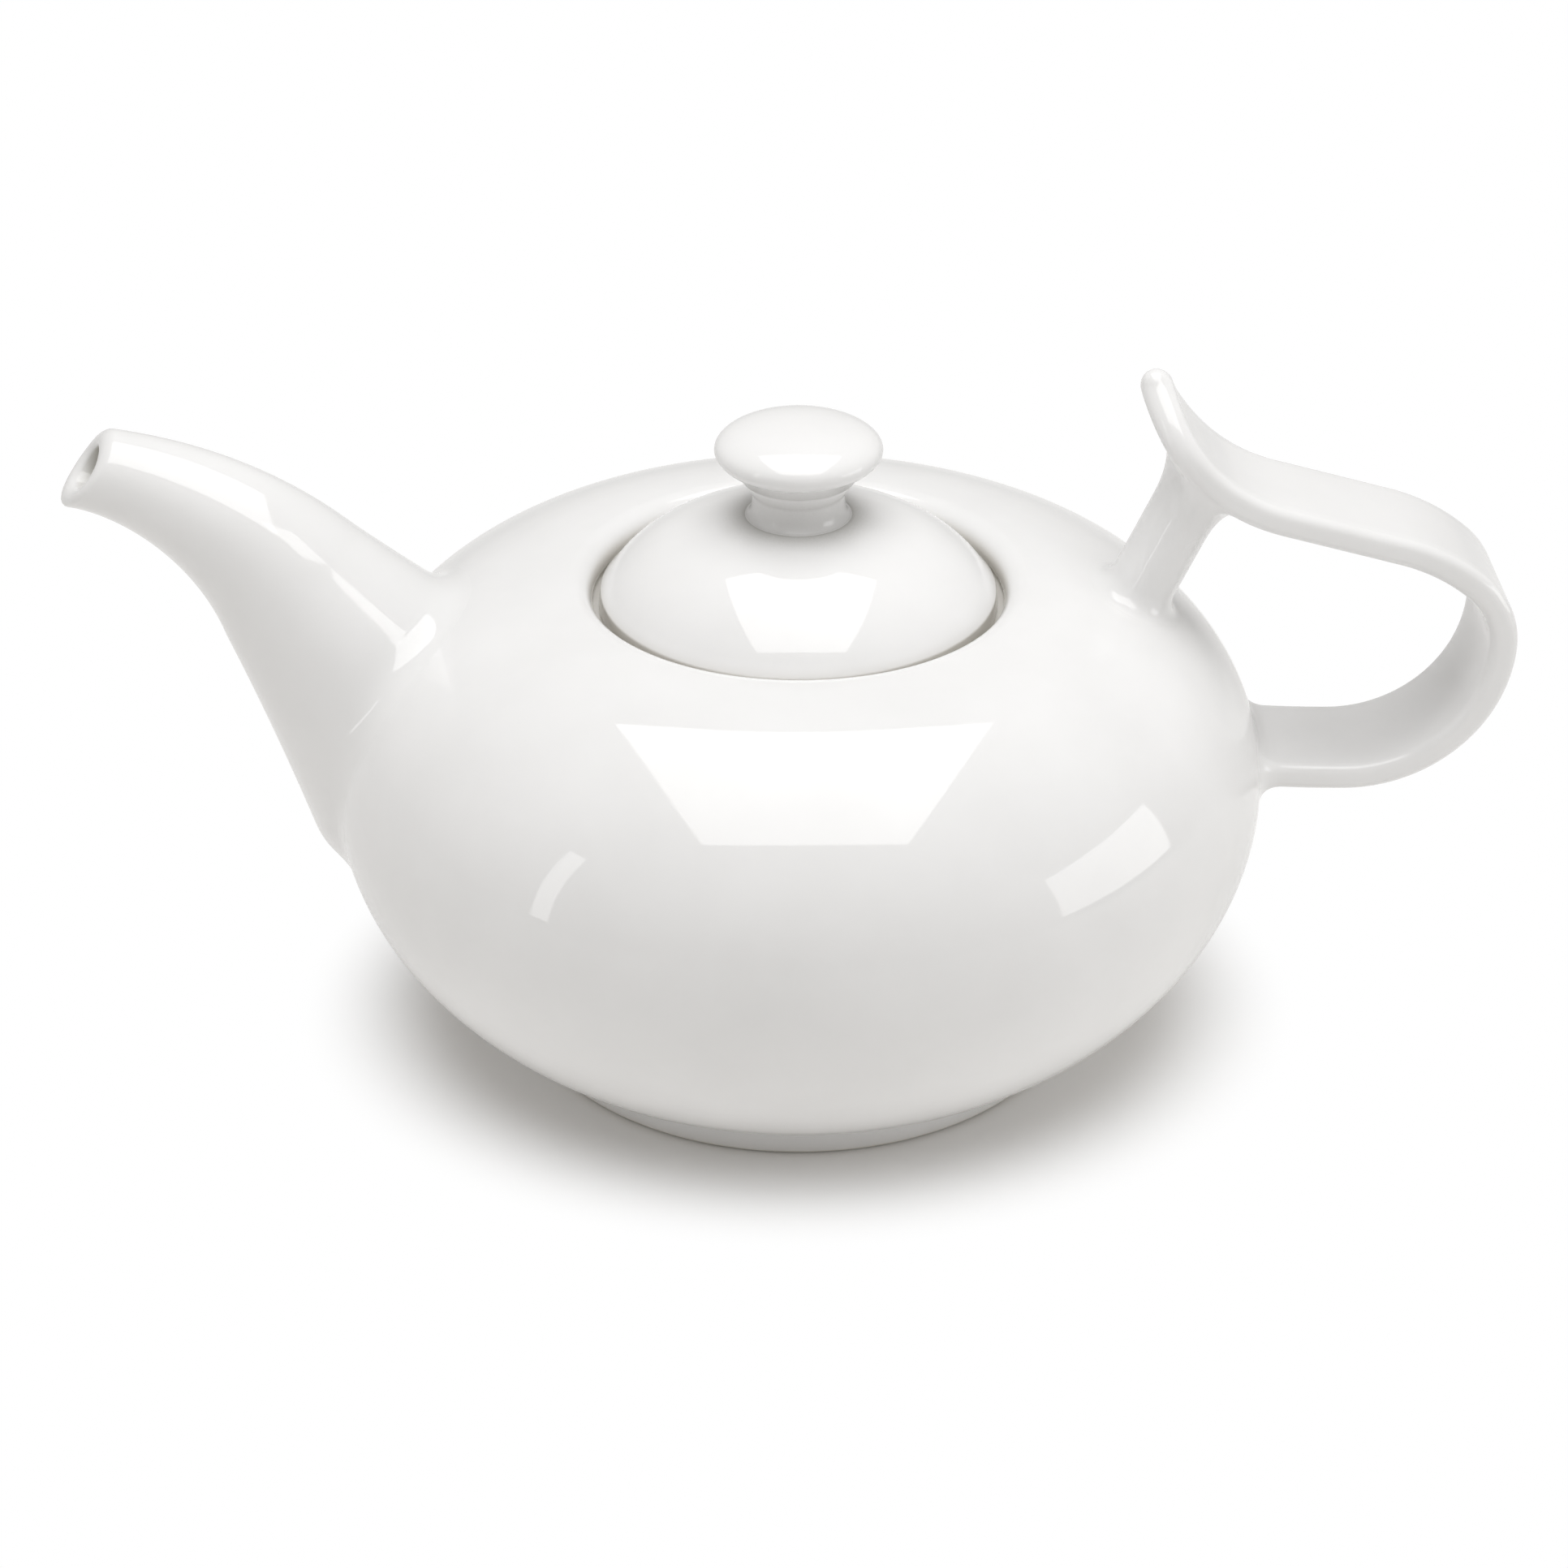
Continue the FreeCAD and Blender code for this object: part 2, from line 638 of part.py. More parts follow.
# Handle post: an oval pillar that widens into the shoulder and into the ribbon
def post_form():
    body = new_body("post_form")
    lean = 90 - size("post_lean")
    across = size("body_radius - lip_radius")
    height = size("lip_top - equator_height")
    from_lip = size("post_x - lip_radius") / across
    base = Vector(size("post_x"), 0, size("equator_height") + height * math.sqrt(1 - from_lip ** 2))
    thumb_centre = ribbon_arcs()[0][0]
    # where the pillar's axis meets the middle of the ribbon
    away = base - thumb_centre
    along = away.dot(heading(lean))
    length = -along - math.sqrt(along ** 2 - away.Length ** 2 + size("thumb_radius") ** 2)
    top = base + heading(lean) * length
    inward = thumb_centre - top
    top_way = math.degrees(math.atan2(inward.z, inward.x))
    flare = size("post_flare_length")
    stations = [
        (base - heading(lean) * flare, lean, "post_flare"),
        (base, lean, "post_flare"),
        (base + heading(lean) * flare, lean, "0"),
        (top - heading(lean) * flare, lean, "0"),
        (top, top_way, "post_flare"),
    ]
    sections = []
    for number, (point, way, extra) in enumerate(stations):
        width = f"(post_width + {extra})"
        thickness = f"(post_thickness + {extra})"
        sketch = new_sketch(body, f"post_{number}", "YZ_Plane", across_path(point.x, point.z, way))
        oval = sketch.addGeometry(Part.Ellipse(Vector(), size(f"{width} / 2"), size(f"{thickness} / 2")), False)
        sketch.addConstraint(Sketcher.Constraint("Coincident", oval, 3, -1, 1))
        sketch.exposeInternalGeometry(oval)
        sketch.addConstraint(Sketcher.Constraint("Horizontal", oval + 1))
        add_bound(sketch, "Distance", oval + 1, expression=width)
        add_bound(sketch, "Distance", oval + 2, expression=thickness)
        sections.append(sketch)
    loft(body, "AdditiveLoft", sections)
    return body


plug = pot_outside()
shoulder = shoulder_form()
ribbon = strap_form()
NODES = [
    pot_body(),
    cut("pot_shoulder", shoulder, strainer_rod("strainer_opening", [])),
    combine("Common", "strainer", strainer_rod("pierced_rod", strainer_places()), shoulder),
    lid_seat(),
    cut("foot_ring", foot_form(), plug),
    lid(),
    lid_knob(),
    spout(),
    cut("handle_strap", ribbon, plug),
    cut("handle_post", cut("post_under_strap", post_form(), ribbon), plug),
]

doc.recompute()
for item in doc.Objects:
    if "Invalid" in item.State or "Error" in item.State:
        raise RuntimeError(f"{item.Name} failed: {item.State}")
os.makedirs("parts", exist_ok=True)
for part in NODES:
    if part.Shape.isNull() or not part.Shape.isValid() or len(part.Shape.Solids) != 1:
        raise RuntimeError(f"{part.Label} is not one valid solid")
    part.Shape.exportStep(f"parts/{part.Label}.step")
    print(part.Label, round(part.Shape.Volume / 1000, 2), "cm3", part.Shape.BoundBox)
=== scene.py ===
import bisect
import bmesh
import bpy
import math
from mathutils import Matrix, Vector

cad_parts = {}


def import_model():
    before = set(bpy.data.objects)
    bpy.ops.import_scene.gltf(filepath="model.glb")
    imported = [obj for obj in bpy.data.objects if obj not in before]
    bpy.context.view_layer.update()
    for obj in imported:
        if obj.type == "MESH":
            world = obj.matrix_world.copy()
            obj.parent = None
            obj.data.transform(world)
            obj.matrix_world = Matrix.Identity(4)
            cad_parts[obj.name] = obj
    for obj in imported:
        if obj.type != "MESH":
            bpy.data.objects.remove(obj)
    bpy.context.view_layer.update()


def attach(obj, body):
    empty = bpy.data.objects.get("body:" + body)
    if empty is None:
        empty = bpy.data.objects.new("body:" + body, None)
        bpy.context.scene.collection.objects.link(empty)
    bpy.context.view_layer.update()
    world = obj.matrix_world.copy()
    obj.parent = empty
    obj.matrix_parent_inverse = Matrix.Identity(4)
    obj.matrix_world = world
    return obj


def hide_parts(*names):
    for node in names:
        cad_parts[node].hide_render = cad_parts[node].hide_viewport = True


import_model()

MM = 0.001

# Sizes in millimetres and degrees: pot
BODY_RADIUS = 84.0
EQUATOR = 50.3
BELLY_DROP = 57.8
LIP_TOP = 88.8
LIP_RADIUS = 41.0
LIP_ROUND = 4.4
WALL = 4.0
SHOULDER_WIDTH = BODY_RADIUS - LIP_RADIUS
SHOULDER_RISE = LIP_TOP - EQUATOR
SEAT = LIP_TOP - LIP_ROUND - 0.8
GALLERY_RADIUS = LIP_RADIUS - LIP_ROUND
LEDGE_UNDER = SEAT - 4.0
THROAT_RADIUS = 30.8
GALLERY_ROUND = 0.4
SEAT_ROUND = 0.8
FOOT_HEIGHT = 6.0
FLOOR_TOP = FOOT_HEIGHT + 5.0
FOOT_RADIUS = 52.4
FOOT_INNER = FOOT_RADIUS - 6.0
FOOT_FLARE = 0.9
FOOT_ROUND = 1.2
BARE_HEIGHT = 0.9

# Lid and knob
LID_RADIUS = GALLERY_RADIUS - 1.7
LID_EDGE = SEAT + 2.6
LID_EDGE_ROUND = 0.7
LID_UNDER = SEAT + 0.02
LID_UNDER_ROUND = 0.4
LID_WALL = 4.0
DOME_END = LID_RADIUS - 1.2
DOME_SPREAD = 1.8
SKIRT_RADIUS = THROAT_RADIUS - 0.8
SKIRT_INNER = SKIRT_RADIUS - 3.2
SKIRT_END = SEAT - 8
SKIRT_ROUND = 0.9
VENT_RADIUS = 1.6
VENT_BACK = 20
VENT_HEIGHT = 100
VENT_CUT = 60
KNOB_FOOT = SEAT + 17.0
KNOB_FOOT_RADIUS = 9.6
STEM_FOOT_RADIUS = KNOB_FOOT_RADIUS - 0.2
STEM_RADIUS = 8.1
STEM_HEIGHT = 8.1
STEM_WAIST = 4.4
STEM_ROUND = 2.4
COVE_STEPS = 14
KNOB_RADIUS = 14.7
CAP_DROP = 4.2
CAP_START = 16
CROWN_RISE = 5.2
KNOB_SHADE_RADIUS = 26

# Spout and strainer
SPOUT_BEND = Vector((-90, 0, 88))
SPOUT_RISE = 54
SPOUT_HEADING = 180 - SPOUT_RISE
SPOUT_BEND_RADIUS = 56
SPOUT_BEND_TURN = 44
BEND_LENGTH = SPOUT_BEND_RADIUS * math.radians(SPOUT_BEND_TURN)
SPOUT_STRAIGHT = 52
SPOUT_LENGTH = SPOUT_STRAIGHT + BEND_LENGTH
TIP_RADIUS = 7.2
SPOUT_FLARE = 23.9
SPOUT_FLARE_POWER = 1.42
ROOT_TUCK = 8.0
ROOT_TUCK_LENGTH = 14
MOUTH_FLARE = 0.4
MOUTH_FLARE_START = 4
MOUTH_FLARE_LENGTH = 3.5
SPOUT_WALL = 3.5
MOUTH_SLANT = 36
MOUTH_ROUND = 1.5
RIM_DIP = 0.6
RIM_TURN = 1.2
RIM_REACH = 0.3
SPOUT_OVERRUN = 6
SPOUT_AROUND = 112
SPOUT_STEPS = 240
OUTER_ROWS = 64
BORE_ROWS = 40
RIM_STEPS = 10
MOUTH_SEARCH = 14.0
HOLE_RADIUS = 2.5
HOLE_RING_RADIUS = 9.5
HOLES_AROUND = 6

# Handle
STRAP_WIDTH = 24.0
STRAP_HALF = 2.45
CORNER_SHARE = 0.34
THUMB_CORNER_SHARE = 0.48
THUMB_WIDTH = 11.0
THUMB_TAPER = 16.0
THUMB_SWELL = 0.8
THUMB_SWELL_LENGTH = 24
THUMB_TIP = 3.2
TIP_ROWS = [0.05, 0.2, 0.5, 0.9, 1.4, 2.0, 2.7, 3.5, 4.4]
TIP_ROWS_END = 5
TIP_WIDENING = 2.6
TIP_WIDENING_START = 1.5
THUMB_RADIUS = 32.9
THUMB_TURN = 61.5
STRAP_RUN = 21.5
CREST_BEND = 36.0
CREST_TURN = 25
UPPER_BEND = 15.2
LOWER_BEND = 25.8
ROOT_BEND = 206.0
ROOT_TURN = 8
STRAP_SLOPE = 15.1
FALL = 180 - STRAP_SLOPE
TIGHT = FALL - 90 - CREST_TURN
REACH = Vector((124.2, 0, 78.8))
POST_LEAN = 24
POST_HEADING = 90 - POST_LEAN
POST_BASE = 60.3
POST_HALF_WIDTH = 7.5
POST_HALF_THICKNESS = 5.8
POST_MIDDLE = 13
POST_STEP = 0.5
POST_STEPS = 60
POST_ROWS = 10

# Fillets at the roots: how far they reach from the corner on the piece and on what it meets
SPOUT_FILLET = (5.0, 4.0)
HANDLE_FILLET = (4.0, 3.4)
POST_TOP_FILLET = (9.0, 5.0)
FILLET_PULL = 0.62
FILLET_SINK = 0.15


# Outlines for turned pieces, as (radius, height) points
def oval(cx, cz, rx, rz, start, stop, steps):
    """Points on a level ellipse, angles in degrees."""
    points = []
    for step in range(steps + 1):
        angle = math.radians(start + (stop - start) * step / steps)
        points.append((cx + rx * math.cos(angle), cz + rz * math.sin(angle)))
    return points


def rounded(corners, steps=6):
    """A row of (radius, height, rounding) corners; the first and the last stay sharp."""
    points = [corners[0][:2]]
    for before, corner, after in zip(corners, corners[1:], corners[2:]):
        here = Vector(corner[:2])
        back = (Vector(before[:2]) - here).normalized()
        ahead = (Vector(after[:2]) - here).normalized()
        half = back.angle(ahead) / 2
        reach = corner[2] / math.tan(half)
        centre = here + (back + ahead).normalized() * corner[2] / math.sin(half)
        first = here + back * reach - centre
        last = here + ahead * reach - centre
        for step in range(steps + 1):
            turned = first.slerp(last, step / steps)
            points.append(tuple(centre + turned))
    points.append(corners[-1][:2])
    return points


def spread(points, longest=4.0):
    """Splits long straight stretches, so that shading stays even."""
    result = [points[0]]
    for a, b in zip(points, points[1:]):
        count = max(1, math.ceil(math.dist(a, b) / longest))
        result += [(a[0] + (b[0] - a[0]) * i / count, a[1] + (b[1] - a[1]) * i / count)
                   for i in range(1, count + 1)]
    return result


# Meshes
def mesh_object(name, bm):
    mesh = bpy.data.meshes.new(name)
    bm.to_mesh(mesh)
    bm.free()
    return bpy.data.objects.new(name, mesh)


def to_object(name, bm, body, nodes, materials):
    """A smooth visual piece that rides on a body and stands for nodes of the part."""
    bmesh.ops.recalc_face_normals(bm, faces=bm.faces)
    for face in bm.faces:
        face.smooth = True
    piece = mesh_object(name, bm)
    bpy.context.scene.collection.objects.link(piece)
    for material in materials:
        piece.data.materials.append(material)
    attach(piece, body)
    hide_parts(*nodes)
    return piece


def paint(piece, second):
    """Gives the second material to the faces that a test picks."""
    for face in piece.data.polygons:
        face.material_index = int(second(face))


def lathe(points, turns=240):
    """A turned form about Z; points on the axis become single vertices."""
    bm = bmesh.new()
    rings = []
    for radius, height in points:
        if radius < 1e-6:
            rings.append([bm.verts.new((0, 0, height * MM))])
        else:
            rings.append([bm.verts.new((radius * math.cos(2 * math.pi * i / turns) * MM,
                                        radius * math.sin(2 * math.pi * i / turns) * MM, height * MM))
                          for i in range(turns)])
    for low, high in zip(rings, rings[1:]):
        for i in range(turns):
            j = (i + 1) % turns
            corners = [low[i % len(low)], low[j % len(low)], high[j % len(high)], high[i % len(high)]]
            bm.faces.new(list(dict.fromkeys(corners)))
    return bm


def skin(rows, closed=True):
    """A form from rows of points, each row a loop; the last row may join the first."""
    bm = bmesh.new()
    loops = [[bm.verts.new(p * MM) for p in row] for row in rows]
    for row, after in zip(loops, loops[1:] + (loops[:1] if closed else [])):
        for i in range(len(row)):
            j = (i + 1) % len(row)
            bm.faces.new((row[i], row[j], after[j], after[i]))
    if not closed:
        bm.faces.new(loops[0])
        bm.faces.new(loops[-1])
    return bm


# The pot's outside as a field: below zero inside
def pot_field(p):
    radius = math.hypot(p.x, p.y)
    if p.z < EQUATOR:
        return (radius / BODY_RADIUS) ** 2 + ((p.z - EQUATOR) / BELLY_DROP) ** 2 - 1
    return (max(radius - LIP_RADIUS, 0) / SHOULDER_WIDTH) ** 2 + ((p.z - EQUATOR) / SHOULDER_RISE) ** 2 - 1


def slope(field, p, step=0.01):
    """Direction and size of the field's steepest rise."""
    axes = [Vector((step, 0, 0)), Vector((0, step, 0)), Vector((0, 0, step))]
    return Vector([(field(p + a) - field(p - a)) / (2 * step) for a in axes])


def settle(field, p):
    """The nearest point where the field is zero."""
    for _ in range(8):
        rise = slope(field, p)
        p = p - rise * (field(p) / rise.length_squared)
    return p


def first_inside(field, points):
    """Where a row of points goes below zero: index before it and the place."""
    for i, (a, b) in enumerate(zip(points, points[1:])):
        high = field(a)
        low = field(b)
        if high > 0 >= low:
            return i, a.lerp(b, high / (high - low))
    raise ValueError("the row stays outside")


def lengths_along(points):
    """Distances of a row's points from its start."""
    lengths = [0.0]
    for a, b in zip(points, points[1:]):
        lengths.append(lengths[-1] + (b - a).length)
    return lengths


def root_fillet(field, points, outward, before, after, steps=12):
    """A row of points that ends in a soft fillet on a surface instead of going through it."""
    index, hit = first_inside(field, points)
    path = points[:index + 1] + [hit]
    lengths = lengths_along(path)
    start = lengths[-1] - before
    keep = max(bisect.bisect_left(lengths, start), 1)
    a, b = path[keep - 1:keep + 1]
    way = (b - a).normalized()
    begin = a + way * (start - lengths[keep - 1])
    normal = slope(field, hit).normalized()
    side = (outward - normal * outward.dot(normal)).normalized()
    end = settle(field, hit + side * after)
    normal = slope(field, end).normalized()
    side = (side - normal * side.dot(normal)).normalized()
    handle_a = begin + way * before * FILLET_PULL
    handle_b = end - side * after * FILLET_PULL
    curve = []
    for step in range(steps + 1):
        t = step / steps
        curve.append(begin * (1 - t) ** 3 + handle_a * 3 * t * (1 - t) ** 2
                     + handle_b * 3 * t * t * (1 - t) + end * t ** 3)
    tuck = settle(field, end + side)
    return points[:keep], curve + [tuck - slope(field, tuck).normalized() * FILLET_SINK]


def resample(points, count):
    """The same row with evenly spaced points."""
    lengths = lengths_along(points)
    row = []
    for i in range(count):
        target = lengths[-1] * i / (count - 1)
        j = min(max(bisect.bisect_right(lengths, target) - 1, 0), len(points) - 2)
        span = lengths[j + 1] - lengths[j] or 1.0
        row.append(points[j].lerp(points[j + 1], (target - lengths[j]) / span))
    return row


def heading(angle):
    """A direction in the XZ plane, in degrees from +X."""
    return Vector((math.cos(math.radians(angle)), 0, math.sin(math.radians(angle))))


def across(angle):
    """Up from a heading in the XZ plane."""
    return Vector((-math.sin(math.radians(angle)), 0, math.cos(math.radians(angle))))


# Materials
def new_material(name):
    material = bpy.data.materials.new(name)
    material.use_nodes = True
    return material, material.node_tree.nodes, material.node_tree.links


def noise(nodes, links, scale, detail, coords):
    texture = nodes.new("ShaderNodeTexNoise")
    texture.inputs["Scale"].default_value = scale
    texture.inputs["Detail"].default_value = detail
    links.new(coords.outputs["Object"], texture.inputs["Vector"])
    return texture.outputs["Fac"]


def ranged(nodes, links, value, low, high):
    """The middle of a value's range, stretched to run from low to high."""
    ramp = nodes.new("ShaderNodeMapRange")
    ramp.inputs["From Min"].default_value = 0.3
    ramp.inputs["From Max"].default_value = 0.7
    ramp.inputs["To Min"].default_value = low
    ramp.inputs["To Max"].default_value = high
    links.new(value, ramp.inputs["Value"])
    return ramp.outputs["Result"]


def tinted(nodes, links, value, dark, light):
    mix = nodes.new("ShaderNodeMix")
    mix.data_type = "RGBA"
    mix.inputs["A"].default_value = (*dark, 1)
    mix.inputs["B"].default_value = (*light, 1)
    links.new(value, mix.inputs["Factor"])
    return mix.outputs["Result"]


def bumped(nodes, links, height, strength, distance):
    bump = nodes.new("ShaderNodeBump")
    bump.inputs["Strength"].default_value = strength
    bump.inputs["Distance"].default_value = distance
    links.new(height, bump.inputs["Height"])
    return bump.outputs["Normal"]


def glaze_material(name, reach, painted_shade):
    """Glossy white glaze: a faint cloudiness, an uneven gloss and the slow ripple of a fired surface, with
    painted shade that darkens the colour in corners and creases.
    """
    material, nodes, links = new_material(name)
    shader = nodes["Principled BSDF"]
    coords = nodes.new("ShaderNodeTexCoord")
    cloud = ranged(nodes, links, noise(nodes, links, 55, 4, coords), 0, 1)
    white = tinted(nodes, links, cloud, (0.845, 0.843, 0.84), (0.875, 0.873, 0.871))
    # painted shade: in corners and creases the colour is mixed toward a greyer, warmer tone by ambient
    # occlusion
    corner = nodes.new("ShaderNodeAmbientOcclusion")
    corner.samples = 8
    corner.inputs["Distance"].default_value = reach
    painted_shade_mix = nodes.new("ShaderNodeMix")
    painted_shade_mix.data_type = "RGBA"
    painted_shade_mix.inputs["A"].default_value = (*painted_shade, 1)
    links.new(ranged(nodes, links, corner.outputs["AO"], 0, 1), painted_shade_mix.inputs["Factor"])
    links.new(white, painted_shade_mix.inputs["B"])
    links.new(painted_shade_mix.outputs["Result"], shader.inputs["Base Color"])
    gloss = ranged(nodes, links, noise(nodes, links, 240, 3, coords), 0.03, 0.07)
    links.new(gloss, shader.inputs["Roughness"])
    shader.inputs["IOR"].default_value = 1.5
    ripple = bumped(nodes, links, noise(nodes, links, 38, 2, coords), 1.0, 0.00003)
    links.new(ripple, shader.inputs["Normal"])
    return material


def bare_material():
    """Unglazed fired clay on the foot's rim: matt, warm and finely grained."""
    material, nodes, links = new_material("bare_porcelain")
    shader = nodes["Principled BSDF"]
    coords = nodes.new("ShaderNodeTexCoord")
    cloud = ranged(nodes, links, noise(nodes, links, 180, 6, coords), 0, 1)
    clay = tinted(nodes, links, cloud, (0.70, 0.67, 0.61), (0.80, 0.78, 0.73))
    links.new(clay, shader.inputs["Base Color"])
    dull = ranged(nodes, links, noise(nodes, links, 900, 3, coords), 0.6, 0.85)
    links.new(dull, shader.inputs["Roughness"])
    grain = bumped(nodes, links, noise(nodes, links, 1600, 4, coords), 0.6, 0.00012)
    links.new(grain, shader.inputs["Normal"])
    return material


# each glaze paints shade into corners and creases: the pot's lightly, the lid's and the bore's darker
glaze = glaze_material("white_glaze", 0.006, (0.68, 0.66, 0.62))
# painted shadow: a dark pool that reaches far, for the knob's shadow around the stem on the dome
lid_glaze_painted_shade = glaze_material("lid_glaze_painted_shade", 0.013, (0.27, 0.26, 0.225))
# painted shade: darkens the inside of the spout's bore
bore_glaze_painted_shade = glaze_material("bore_glaze_painted_shade", 0.02, (0.55, 0.53, 0.47))
bare = bare_material()


# Pot
def pot_profile():
    """From the middle of the underside over belly, lip and seat to the middle of the floor."""
    belly_foot = math.degrees(math.asin((EQUATOR - FOOT_HEIGHT) / BELLY_DROP))
    belly_floor = math.degrees(math.asin((EQUATOR - FLOOR_TOP) / (BELLY_DROP - WALL)))
    outside = oval(0, EQUATOR, BODY_RADIUS, BELLY_DROP, -belly_foot, 0, 56)
    shoulder = oval(LIP_RADIUS, EQUATOR, SHOULDER_WIDTH, SHOULDER_RISE, 0, 90, 56)
    lip = oval(LIP_RADIUS, LIP_TOP - LIP_ROUND, LIP_ROUND, LIP_ROUND, 90, 180, 16)
    seat = rounded([(GALLERY_RADIUS, LIP_TOP - LIP_ROUND, 0), (GALLERY_RADIUS, SEAT, GALLERY_ROUND),
                    (THROAT_RADIUS, SEAT, SEAT_ROUND), (THROAT_RADIUS, LEDGE_UNDER, SEAT_ROUND),
                    (LIP_RADIUS, LEDGE_UNDER, SEAT_ROUND), (LIP_RADIUS, LIP_TOP - WALL, 0)])
    inside = oval(LIP_RADIUS, EQUATOR, SHOULDER_WIDTH - WALL, SHOULDER_RISE - WALL, 90, 0, 40)
    below = oval(0, EQUATOR, BODY_RADIUS - WALL, BELLY_DROP - WALL, 0, -belly_floor, 40)
    points = [(0, FOOT_HEIGHT), (FOOT_INNER, FOOT_HEIGHT)] + outside + shoulder[1:] + lip[1:]
    points += seat[1:] + inside[1:] + below[1:] + [(0, FLOOR_TOP)]
    return spread(points)


def rods(name, placements, radius, length, sides):
    """Round rods of one size, for cutting holes."""
    bm = bmesh.new()
    for placement in placements:
        bmesh.ops.create_cone(bm, cap_ends=True, segments=sides, radius1=radius * MM, radius2=radius * MM,
                              depth=length * MM, matrix=placement)
    return mesh_object(name, bm)


def strainer_cutter():
    """Seven rods along the spout, through the pot's wall."""
    places = [Vector((0, 0))]
    for i in range(HOLES_AROUND):
        places.append(Matrix.Rotation(2 * math.pi * i / HOLES_AROUND, 2) @ Vector((HOLE_RING_RADIUS, 0)))
    along = heading(SPOUT_HEADING)
    start = SPOUT_BEND - along * (SPOUT_STRAIGHT / 2)
    turn = along.to_track_quat("Z", "Y").to_matrix().to_4x4()
    placements = []
    for sideways, up in places:
        middle = start + Vector((0, 1, 0)) * sideways + across(SPOUT_HEADING) * up
        placements.append(Matrix.Translation(middle * MM) @ turn)
    return rods("strainer_cutter", placements, HOLE_RADIUS, SPOUT_STRAIGHT, 32)


def pierce(piece, cutter):
    """Cuts one object out of another and drops the cutter."""
    bpy.context.scene.collection.objects.link(cutter)
    modifier = piece.modifiers.new("holes", "BOOLEAN")
    modifier.operation = "DIFFERENCE"
    modifier.object = cutter
    modifier.solver = "EXACT"
    graph = bpy.context.evaluated_depsgraph_get()
    mesh = bpy.data.meshes.new_from_object(piece.evaluated_get(graph))
    piece.modifiers.clear()
    piece.data = mesh
    bpy.data.objects.remove(cutter)


# Spout
def spout_axis(way):
    """Place and heading at a distance from the mouth; below zero lies beyond it."""
    if way > BEND_LENGTH:
        return SPOUT_BEND - heading(SPOUT_HEADING) * (way - BEND_LENGTH), SPOUT_HEADING
    turned = SPOUT_BEND_TURN * (1 - max(way, 0) / BEND_LENGTH)
    centre = SPOUT_BEND + across(SPOUT_HEADING) * SPOUT_BEND_RADIUS
    angle = SPOUT_HEADING + turned
    return centre - across(angle) * SPOUT_BEND_RADIUS + heading(angle) * max(-way, 0), angle


def spout_radius(way):
    """The radius grows from the mouth, flares a little at the rim and draws in at the root."""
    share = max(way, 0) / SPOUT_LENGTH
    tuck = ROOT_TUCK * max(0, 1 - (SPOUT_LENGTH - way) / ROOT_TUCK_LENGTH) ** 2
    lip = MOUTH_FLARE * math.exp(-max(way + MOUTH_FLARE_START, 0) / MOUTH_FLARE_LENGTH)
    return TIP_RADIUS + SPOUT_FLARE * share ** SPOUT_FLARE_POWER - tuck + lip


def spout_point(way, angle, inset):
    """A point on the spout, or below its surface, and the direction outward."""
    place, direction = spout_axis(way)
    outward = across(direction) * math.cos(angle) + Vector((0, math.sin(angle), 0))
    return place + outward * (spout_radius(way) - inset), outward


def mouth_way(angle, inset):
    """Where a line along the spout meets the slanted mouth."""
    mouth = spout_axis(0)[0]
    facing = Vector((-math.cos(math.radians(MOUTH_SLANT)), 0, math.sin(math.radians(MOUTH_SLANT))))
    low, high = -MOUTH_SEARCH, MOUTH_SEARCH
    for _ in range(40):
        middle = (low + high) / 2
        if (spout_point(middle, angle, inset)[0] - mouth).dot(facing) > 0:
            low = middle
        else:
            high = middle
    return low


def spout_line(angle, inset, drawn_back):
    """Distances and points along the spout, from the rim to inside the pot."""
    edge = mouth_way(angle, inset) + MOUTH_ROUND + drawn_back
    run = SPOUT_LENGTH + SPOUT_OVERRUN - edge
    ways = [edge + run * k / SPOUT_STEPS for k in range(SPOUT_STEPS + 1)]
    return ways, [spout_point(way, angle, inset)[0] for way in ways]


def spout_skin():
    """The spout from its bore's root over the mouth to the outer root."""
    columns = []
    for i in range(SPOUT_AROUND):
        angle = 2 * math.pi * i / SPOUT_AROUND
        # the rim lies behind its slanted plane, most on the near side
        drawn_back = RIM_DIP * math.sin(angle) ** 2 + RIM_TURN * (1 - math.sin(angle)) - RIM_REACH
        ways, outer = spout_line(angle, 0, drawn_back)
        hit = first_inside(pot_field, outer)[0]
        row, curve = root_fillet(pot_field, outer, spout_point(ways[hit], angle, 0)[1], *SPOUT_FILLET)
        outside = resample(row + curve[:1], OUTER_ROWS)[:-1] + curve
        _, bore = spout_line(angle, SPOUT_WALL, drawn_back)
        hit, end = first_inside(pot_field, bore)
        inside = resample(bore[:hit + 1] + [end], BORE_ROWS)
        middle = (outside[0] + inside[0]) / 2
        half = (outside[0] - inside[0]) / 2
        lip_way = heading(spout_axis(0)[1]) * MOUTH_ROUND
        turns = [math.pi * k / RIM_STEPS for k in range(1, RIM_STEPS)]
        rim = [middle - half * math.cos(turn) + lip_way * math.sin(turn) for turn in turns]
        columns.append(list(reversed(inside)) + rim + outside)
    return skin([list(row) for row in zip(*columns)])


# Handle ribbon: its middle line and its section
TOP_CENTRE = REACH - Vector((UPPER_BEND, 0, 0))
LOW_CENTRE = REACH - Vector((LOWER_BEND, 0, 0))
CREST_CENTRE = TOP_CENTRE + heading(TIGHT) * (UPPER_BEND - CREST_BEND)
RUN_END = CREST_CENTRE + heading(FALL - 90) * CREST_BEND + heading(FALL) * STRAP_RUN
THUMB_CENTRE = RUN_END + heading(FALL - 90) * THUMB_RADIUS
ROOT_CENTRE = LOW_CENTRE + Vector((0, 0, ROOT_BEND - LOWER_BEND))


